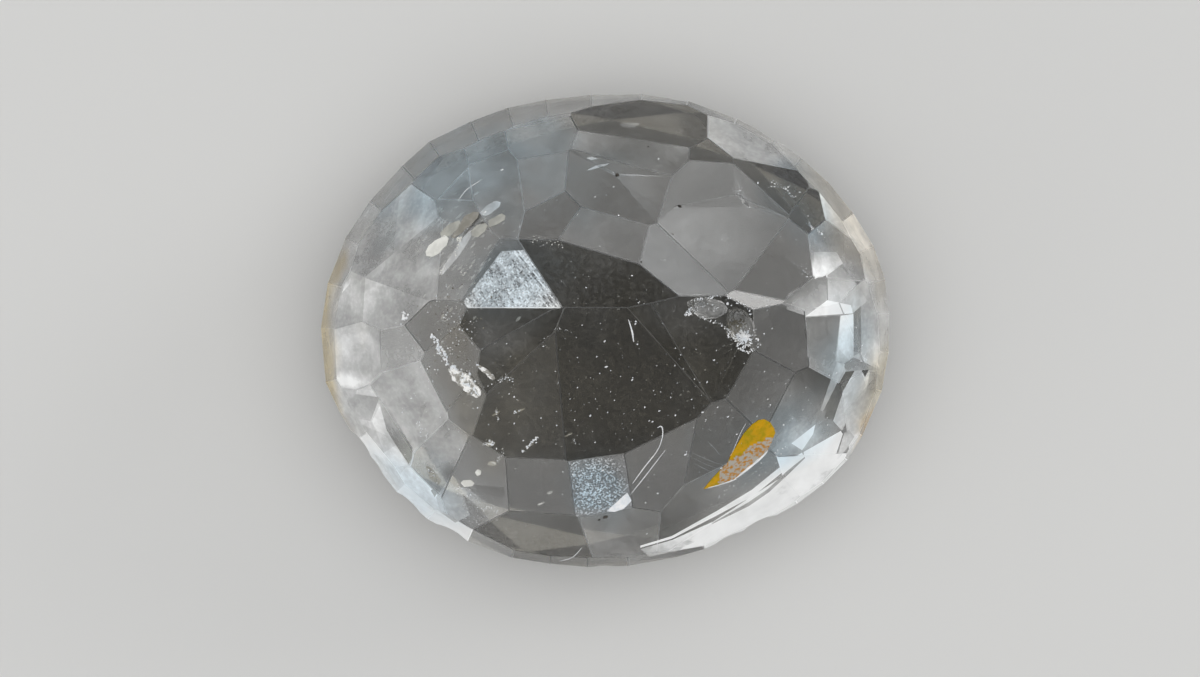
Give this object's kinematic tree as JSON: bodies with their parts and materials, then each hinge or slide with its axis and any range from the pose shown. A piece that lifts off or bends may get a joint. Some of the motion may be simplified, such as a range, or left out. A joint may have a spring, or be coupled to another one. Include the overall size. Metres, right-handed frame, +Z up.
{
  "type": "white sapphire",
  "caption": "Faceted oval white sapphire lying on its table, with an uneven domed pavilion, a star-cut crown, a chipped girdle and one rough cavity.",
  "frame": {"origin": "middle of the table facet, which the stone rests on", "axes": "+X along the length of the oval, +Y across it, +Z up from the table to the culet"},
  "size_m": [0.013, 0.0109, 0.007],
  "materials": {
    "sapphire": "polished facets, clear with a faint warm grey haze"
  },
  "bodies": {
    "root": {"white_sapphire": "sapphire"}
  },
  "joints": []
}
